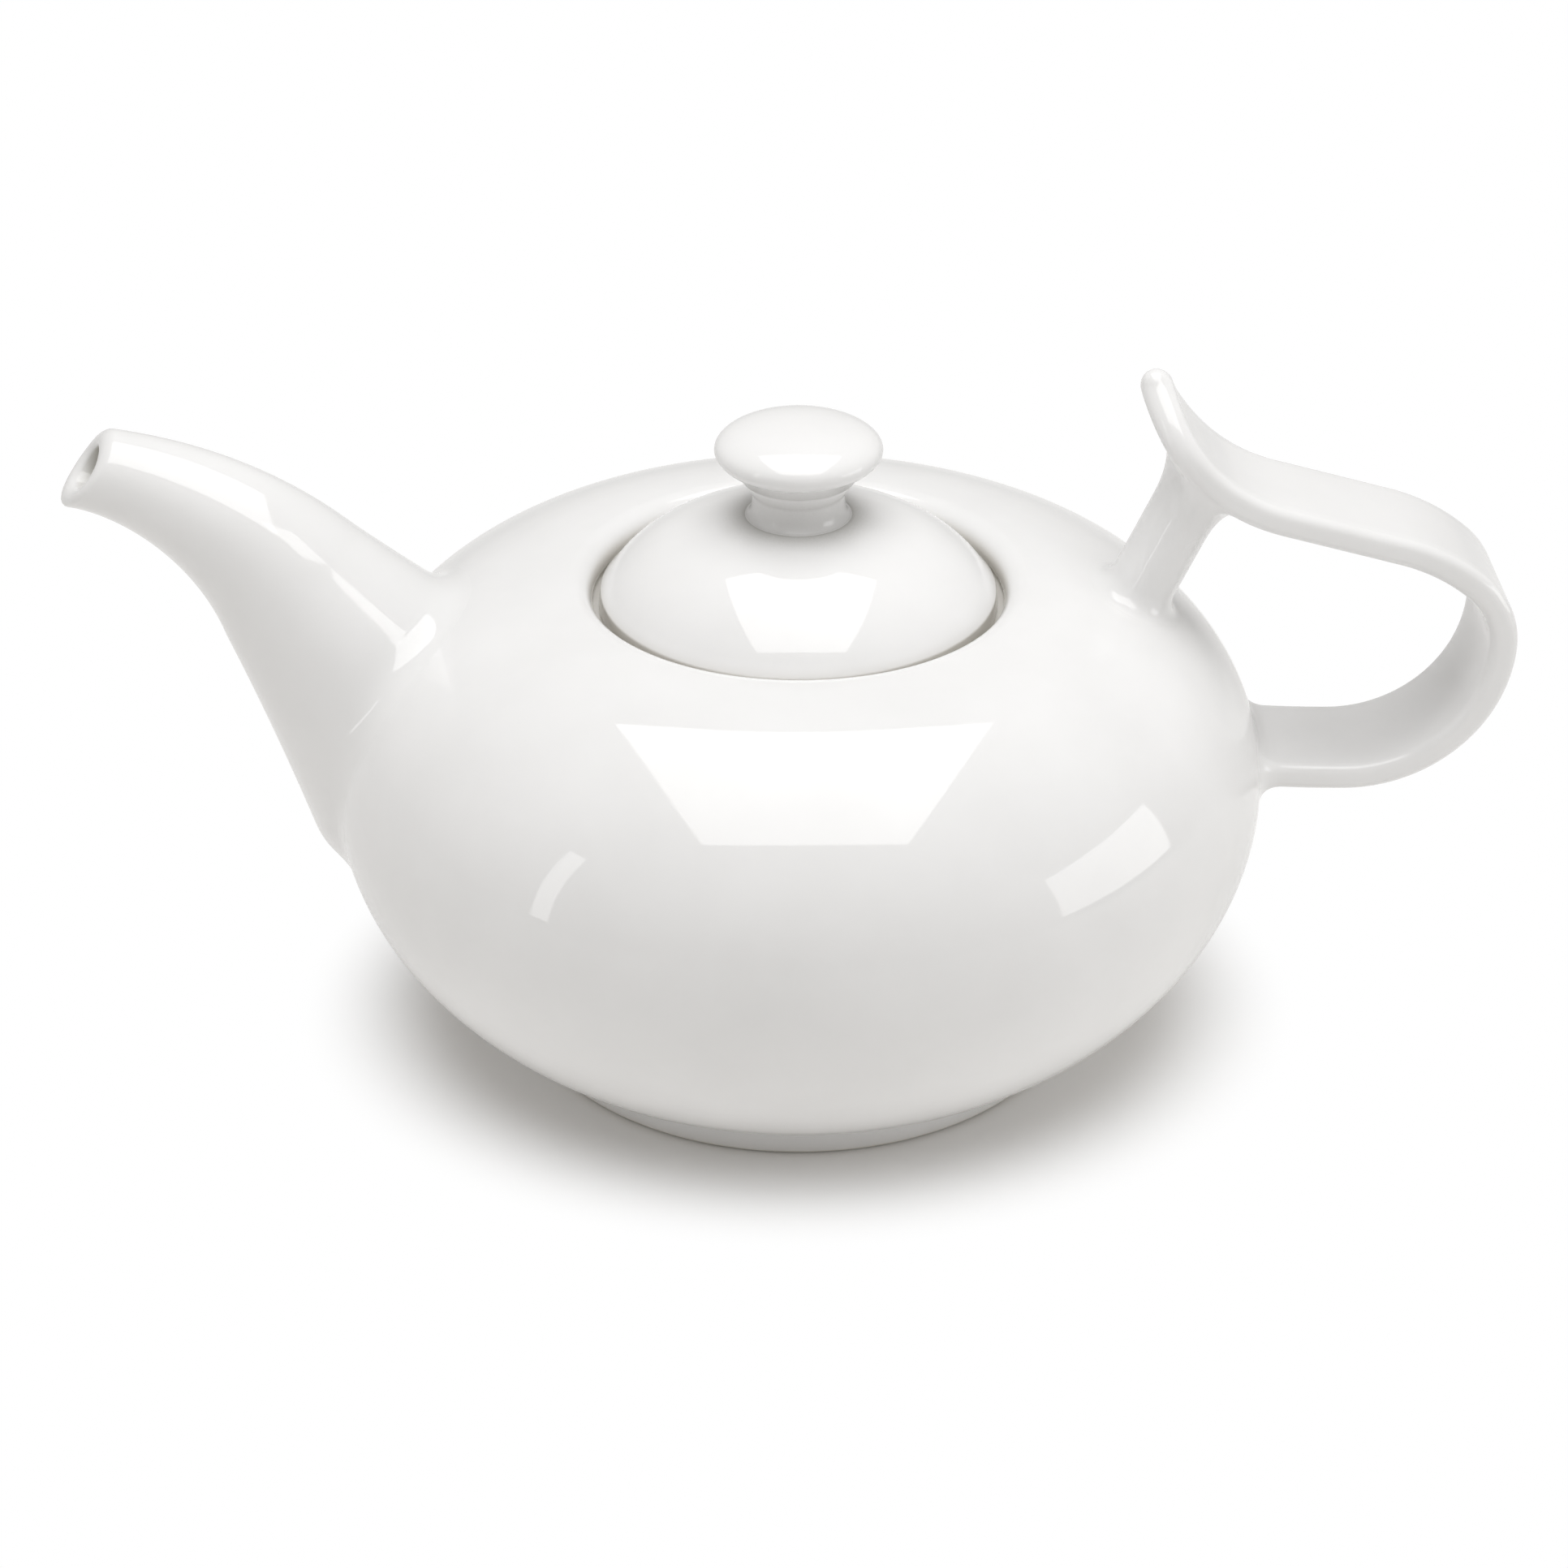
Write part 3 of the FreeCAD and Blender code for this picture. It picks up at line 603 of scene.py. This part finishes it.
def ribbon_path():
    """Places and headings about every millimetre, from the thumb end to inside the belly."""
    arcs = [(THUMB_CENTRE, THUMB_RADIUS, FALL + 90 - THUMB_TURN, FALL + 90, 40),
            (CREST_CENTRE, CREST_BEND, FALL - 90, TIGHT, 16), (TOP_CENTRE, UPPER_BEND, TIGHT, 0, 24),
            (LOW_CENTRE, LOWER_BEND, 0, -90, 40), (ROOT_CENTRE, ROOT_BEND, -90, -90 - ROOT_TURN, 40)]
    stations = []
    for centre, radius, start, stop, steps in arcs:
        for step in range(steps + 1):
            angle = start + (stop - start) * step / steps
            place = centre + heading(angle) * radius
            way = angle + 90 if stop > start else angle - 90 + 360
            if stations and (place - stations[-1][0]).length > 3:
                a, b = stations[-1][0], place
                stations += [(a.lerp(b, k / 20), stations[-1][1]) for k in range(1, 20)]
            if not stations or (place - stations[-1][0]).length > 0.01:
                stations.append((place, way))
    return stations


def bar_section(width, thickness, radius):
    """Points and outward directions of a bar with rounded corners: (sideways, up)."""
    flat = width / 2 - radius
    edge = thickness / 2 - radius
    row = []
    for quarter, (right, up) in enumerate([(1, 1), (-1, 1), (-1, -1), (1, -1)]):
        middle = Vector((right * flat, up * edge))
        for k in range(7):
            angle = math.pi / 2 * (quarter + k / 6)
            out = Vector((math.cos(angle), math.sin(angle)))
            row.append((middle + out * radius, out))
        last = row[-1][0]
        after = Vector((-last.x, last.y)) if quarter % 2 == 0 else Vector((last.x, -last.y))
        count = 10 if quarter % 2 == 0 else 3
        row += [(last.lerp(after, k / count), row[-1][1]) for k in range(1, count)]
    return row


def ribbon_size(distance):
    """Width, thickness and corner radius at a distance from the thumb end, a rounded tip that widens."""
    short = max(0.0, 1 - distance / THUMB_TAPER) ** 2
    tongue = STRAP_WIDTH - (STRAP_WIDTH - THUMB_WIDTH) * short
    full = math.sqrt(max(1 - max(0.0, 1 - distance / THUMB_TIP) ** 2, 0.0004))
    near = max(0.0, 1 - distance / THUMB_SWELL_LENGTH)
    thickness = (2 * STRAP_HALF + THUMB_SWELL * near) * full
    beyond = max(0.0, distance - TIP_WIDENING_START)
    tip = thickness + TIP_WIDENING * beyond ** 2 / (beyond + TIP_WIDENING_START)
    corner = (CORNER_SHARE + (THUMB_CORNER_SHARE - CORNER_SHARE) * min(1.5 * near, 1)) * thickness
    return tip * (1 + (tip / tongue) ** 4) ** -0.25, thickness, corner


def ribbon_skin():
    """The ribbon from its thumb end to the fillet on the belly."""
    stations = ribbon_path()
    distances = lengths_along([place for place, _ in stations])
    places = []
    for distance in TIP_ROWS + [d for d in distances if d > TIP_ROWS_END]:
        j = min(bisect.bisect_right(distances, distance), len(stations) - 1)
        share = (distance - distances[j - 1]) / (distances[j] - distances[j - 1])
        place = stations[j - 1][0].lerp(stations[j][0], share)
        way = stations[j - 1][1] + (stations[j][1] - stations[j - 1][1]) * share
        places.append((place, way, *ribbon_size(distance)))
    sections = [bar_section(*size) for _, _, *size in places]
    columns = []
    for k in range(len(sections[0])):
        line = [place + Vector((0, section[k][0].x, 0)) + across(way) * section[k][0].y
                for (place, way, *_), section in zip(places, sections)]
        way = places[-1][1]
        out = sections[-1][k][1]
        outward = Vector((0, out.x, 0)) + across(way) * out.y
        row, curve = root_fillet(pot_field, line, outward, *HANDLE_FILLET)
        columns.append((row, curve))
    common = min(len(row) for row, _ in columns)
    rows = []
    for row, curve in columns:
        tail = resample(row[common - 1:] + curve[:1], 5)
        rows.append(row[:common - 1] + tail[:-1] + curve)
    return skin([list(row) for row in zip(*rows)], closed=False)


def ribbon_field(p):
    """Distance to the ribbon's surface near the post."""
    offset = p - THUMB_CENTRE
    along = offset.dot(heading(FALL))
    below = -offset.dot(heading(FALL - 90))
    turned = max(math.atan2(along, below), 0)
    radial = (math.hypot(along, below) if along > 0 else below) - THUMB_RADIUS
    width, thickness, corner = ribbon_size(THUMB_RADIUS * (math.radians(THUMB_TURN) - turned))
    sideways = max(abs(p.y) - width / 2 + corner, 0)
    upward = max(abs(radial) - thickness / 2 + corner, 0)
    return math.hypot(sideways, upward) - corner


# Handle post
def post_skin(around=72):
    """An oval pillar from the fillet on the shoulder to the fillet under the ribbon."""
    lean = heading(POST_HEADING)
    fore = across(POST_HEADING)
    share = (POST_BASE - LIP_RADIUS) / SHOULDER_WIDTH
    base = Vector((POST_BASE, 0, EQUATOR + SHOULDER_RISE * math.sqrt(1 - share ** 2)))
    columns = []
    for i in range(around):
        angle = 2 * math.pi * i / around
        right, front = math.sin(angle), math.cos(angle)
        out = Vector((0, POST_HALF_WIDTH * right, 0)) + fore * POST_HALF_THICKNESS * front
        normal = (Vector((0, right / POST_HALF_WIDTH, 0)) + fore * front / POST_HALF_THICKNESS).normalized()
        middle = base + lean * POST_MIDDLE + out
        down = [middle - lean * k * POST_STEP for k in range(POST_STEPS)]
        up = [middle + lean * k * POST_STEP for k in range(POST_STEPS)]
        low_row, low_curve = root_fillet(pot_field, down, normal, *HANDLE_FILLET)
        top_row, top_curve = root_fillet(ribbon_field, up, normal, *POST_TOP_FILLET)
        low = resample(low_row + low_curve[:1], POST_ROWS)[:-1] + low_curve
        top = resample(top_row + top_curve[:1], POST_ROWS)[:-1] + top_curve
        columns.append(list(reversed(low)) + top[1:])
    return skin([list(row) for row in zip(*columns)], closed=False)


# Lid and knob
def dome(radius, inset=0.0):
    """Height of the lid's dome, a flat oval, or of its underside, at a radius."""
    wide = LID_RADIUS + DOME_SPREAD
    near = math.sqrt(1 - (KNOB_FOOT_RADIUS / wide) ** 2)
    edge = math.sqrt(1 - (LID_RADIUS / wide) ** 2)
    tall = (KNOB_FOOT - LID_EDGE) / (near - edge)
    rise = math.sqrt(1 - (radius / (wide - inset)) ** 2)
    return KNOB_FOOT - tall * near + (tall - inset) * rise


def lid_profile():
    """From the middle of the dome over rim and skirt to the middle of the vault below."""
    top = [KNOB_FOOT_RADIUS + (DOME_END - KNOB_FOOT_RADIUS) * k / 60 for k in range(61)]
    rim = rounded([(top[-1], dome(top[-1]), 0), (LID_RADIUS, LID_EDGE, LID_EDGE_ROUND),
                   (LID_RADIUS, LID_UNDER, LID_UNDER_ROUND), (SKIRT_RADIUS, LID_UNDER, LID_UNDER_ROUND),
                   (SKIRT_RADIUS, SKIRT_END, SKIRT_ROUND), (SKIRT_INNER, SKIRT_END, SKIRT_ROUND),
                   (SKIRT_INNER, dome(SKIRT_INNER, LID_WALL), 0)], 8)
    under = [SKIRT_INNER * (1 - k / 30) for k in range(1, 31)]
    return spread([(0, KNOB_FOOT), (KNOB_FOOT_RADIUS - 1, KNOB_FOOT)] + [(r, dome(r)) for r in top]
                  + rim[1:] + [(r, dome(r, LID_WALL)) for r in under])


def knob_profile():
    """The knob: a stem that flares a little onto the dome, and a cap that is a flat oval."""
    stem_end = KNOB_FOOT + STEM_HEIGHT
    widest = stem_end + CAP_DROP
    foot = Vector((STEM_FOOT_RADIUS, dome(STEM_FOOT_RADIUS)))
    fall = (dome(foot.x - 0.1) - foot.y) / 0.1
    waist = Vector((STEM_RADIUS, KNOB_FOOT + STEM_WAIST))
    bend = Vector((STEM_RADIUS, foot.y + (foot.x - STEM_RADIUS) * fall))
    cove = []
    for k in range(COVE_STEPS + 1):
        t = k / COVE_STEPS
        cove.append(tuple(foot * (1 - t) ** 2 + bend * 2 * t * (1 - t) + waist * t ** 2))
    drop = CAP_DROP * KNOB_RADIUS / math.sqrt(KNOB_RADIUS ** 2 - STEM_RADIUS ** 2)
    start = -math.degrees(math.asin(CAP_DROP / drop))
    cap = oval(0, widest, KNOB_RADIUS, drop, start + CAP_START, 0, 30)
    crown = oval(0, widest, KNOB_RADIUS, CROWN_RISE, 0, 90, 48)
    crown[-1] = (0, widest + CROWN_RISE)
    neck = rounded([tuple(waist) + (0,), (STEM_RADIUS, stem_end, STEM_ROUND), cap[0] + (0,)], 12)
    sunk = (foot.x + 0.1, foot.y - 0.5)
    return spread([(0, sunk[1]), sunk] + cove + neck[1:] + cap[1:] + crown[1:])


def vent_cutter():
    placement = Matrix.Translation((0, VENT_BACK * MM, VENT_HEIGHT * MM))
    return rods("vent_cutter", [placement], VENT_RADIUS, VENT_CUT, 40)


# Foot
def foot_profile():
    ring = rounded([(FOOT_INNER, FOOT_HEIGHT, 0), (FOOT_INNER, 0, FOOT_ROUND), (FOOT_RADIUS, 0, FOOT_ROUND),
                    (FOOT_RADIUS + FOOT_FLARE, FOOT_HEIGHT, 0)], 8)
    return spread(ring + [(FOOT_INNER, FOOT_HEIGHT)], 1.5)


# Pieces
pot_nodes = ["pot_body", "pot_shoulder", "lid_seat", "strainer"]
pot = to_object("pot_shell", lathe(pot_profile()), "pot", pot_nodes, [glaze])
pierce(pot, strainer_cutter())
foot = to_object("foot", lathe(foot_profile()), "pot", ["foot_ring"], [glaze, bare])
paint(foot, lambda face: face.center.z < BARE_HEIGHT * MM)
spout = to_object("spout_tube", spout_skin(), "pot", ["spout"], [glaze, bore_glaze_painted_shade])
# the bore's faces take the bore glaze, painted darker inside as painted shade
paint(spout, lambda face: face.index < BORE_ROWS * SPOUT_AROUND)
to_object("handle_ribbon", ribbon_skin(), "pot", ["handle_strap"], [glaze])
to_object("handle_pillar", post_skin(), "pot", ["handle_post"], [glaze])
cover = to_object("lid_dome", lathe(lid_profile()), "lid", ["lid"], [lid_glaze_painted_shade, glaze])
pierce(cover, vent_cutter())
# faces near the knob keep the lid glaze with its painted shadow of the knob; faces beyond the shade radius
# take the plain glaze
paint(cover, lambda face: math.hypot(face.center.x, face.center.y) > KNOB_SHADE_RADIUS * MM)
to_object("knob", lathe(knob_profile(), 160), "lid", ["lid_knob"], [lid_glaze_painted_shade])


# Stage: a white floor that keeps the shadow close to the pot and fades to plain white
WARM = (1, 0.98, 0.955)
CLOTH = (0.932, 0.922, 0.905)
FADE_START = 0.063
FADE_END = 0.095
FADE_SQUEEZE = (1, 1.2, 1)
FLOOR_IN_REFLECTIONS = 0.4


def floor_material():
    material, nodes, links = new_material("white_floor")
    nodes.clear()
    coords = nodes.new("ShaderNodeTexCoord")
    squeezed = nodes.new("ShaderNodeMapping")
    squeezed.inputs["Scale"].default_value = FADE_SQUEEZE
    links.new(coords.outputs["Object"], squeezed.inputs["Vector"])
    distance = nodes.new("ShaderNodeVectorMath")
    distance.operation = "LENGTH"
    links.new(squeezed.outputs["Vector"], distance.inputs[0])
    fade = nodes.new("ShaderNodeMapRange")
    fade.interpolation_type = "SMOOTHSTEP"
    fade.inputs["From Min"].default_value = FADE_START
    fade.inputs["From Max"].default_value = FADE_END
    links.new(distance.outputs["Value"], fade.inputs["Value"])
    path = nodes.new("ShaderNodeLightPath")
    looked_at = nodes.new("ShaderNodeMath")
    looked_at.operation = "MULTIPLY_ADD"
    links.new(path.outputs["Is Glossy Ray"], looked_at.inputs[0])
    looked_at.inputs[1].default_value = FLOOR_IN_REFLECTIONS
    links.new(path.outputs["Is Camera Ray"], looked_at.inputs[2])
    seen = nodes.new("ShaderNodeMath")
    seen.operation = "MULTIPLY"
    links.new(fade.outputs["Result"], seen.inputs[0])
    links.new(looked_at.outputs["Value"], seen.inputs[1])
    cloth = nodes.new("ShaderNodeBsdfDiffuse")
    cloth.inputs["Color"].default_value = (*CLOTH, 1)
    white = nodes.new("ShaderNodeEmission")
    white.inputs["Color"].default_value = (1, 1, 1, 1)
    mix = nodes.new("ShaderNodeMixShader")
    links.new(seen.outputs["Value"], mix.inputs["Fac"])
    links.new(cloth.outputs["BSDF"], mix.inputs[1])
    links.new(white.outputs["Emission"], mix.inputs[2])
    out = nodes.new("ShaderNodeOutputMaterial")
    links.new(mix.outputs["Shader"], out.inputs["Surface"])
    return material


def floor():
    bm = bmesh.new()
    bmesh.ops.create_grid(bm, x_segments=1, y_segments=1, size=4)
    plane = mesh_object("floor", bm)
    plane.location.z = -0.0001
    bpy.context.scene.collection.objects.link(plane)
    plane.data.materials.append(floor_material())


def world(ambient, mirrored):
    """White to the camera, dimmer in reflections and dimmer still as light."""
    scene = bpy.context.scene
    scene.world = bpy.data.worlds.new("studio")
    scene.world.use_nodes = True
    nodes = scene.world.node_tree.nodes
    links = scene.world.node_tree.links
    path = nodes.new("ShaderNodeLightPath")
    strength = None
    for ray, value in (("Is Glossy Ray", mirrored), ("Is Transmission Ray", 1.0), ("Is Camera Ray", 1.0)):
        mix = nodes.new("ShaderNodeMix")
        links.new(path.outputs[ray], mix.inputs["Factor"])
        mix.inputs["A"].default_value = ambient
        mix.inputs["B"].default_value = value
        if strength is not None:
            links.new(strength, mix.inputs["A"])
        strength = mix.outputs["Result"]
    links.new(strength, nodes["Background"].inputs["Strength"])
    links.new(tinted(nodes, links, path.outputs["Is Camera Ray"], WARM, (1, 1, 1)),
              nodes["Background"].inputs["Color"])


def softbox(name, place, target, width, height, radiance, mirrored=True, tint=(1, 1, 1)):
    """A flat lamp that looks equally bright at any size."""
    light = bpy.data.lights.new(name, "AREA")
    light.shape = "RECTANGLE"
    light.color = tint
    light.size = width
    light.size_y = height
    light.energy = radiance * width * height * math.pi
    lamp = bpy.data.objects.new(name, light)
    lamp.location = place
    lamp.rotation_euler = (Vector(target) - Vector(place)).to_track_quat("-Z", "Y").to_euler()
    lamp.visible_glossy = mirrored
    bpy.context.scene.collection.objects.link(lamp)
    return lamp


def camera():
    data = bpy.data.cameras.new("camera")
    data.lens = 75.1
    data.sensor_width = 36
    data.clip_start = 0.01
    view = bpy.data.objects.new("camera", data)
    view.location = (-0.00726, -0.52024, 0.34782)
    aim = Vector((-0.00254, 0.0003, 0.04545)) - view.location
    view.rotation_euler = aim.to_track_quat("-Z", "Y").to_euler()
    bpy.context.scene.collection.objects.link(view)
    bpy.context.scene.camera = view


floor()
world(ambient=0.32, mirrored=0.6)
softbox("overhead", (0.015, -0.075, 0.69), (0.015, -0.0749, 0), 0.54, 0.69, 3.08)
softbox("right_panel", (0.7, -0.2, 0.17), (0, -0.1, 0.07), 0.44, 0.26, 2.5)
softbox("left_panel", (-0.7, -0.43, 0.28), (0, -0.1, 0.07), 0.07, 0.5, 2.5)
softbox("left_fill", (-0.7, -0.2, 0.2), (0, 0, 0.06), 0.6, 0.5, 0.45, mirrored=False, tint=WARM)
softbox("right_fill", (0.7, -0.2, 0.2), (0, 0, 0.06), 0.6, 0.5, 0.15, mirrored=False, tint=WARM)
# A strip that draws the long streak on the spout and is kept off the belly
streak = softbox("spout_strip", (0.38, -0.305, 0.69), (-0.075, -0.02, 0.085), 0.26, 0.15, 3.0)
streak.visible_diffuse = False
streak.light_linking.receiver_collection = bpy.data.collections.new("streaked")
streak.light_linking.receiver_collection.objects.link(spout)
camera()
bpy.context.scene.view_settings.view_transform = "Standard"
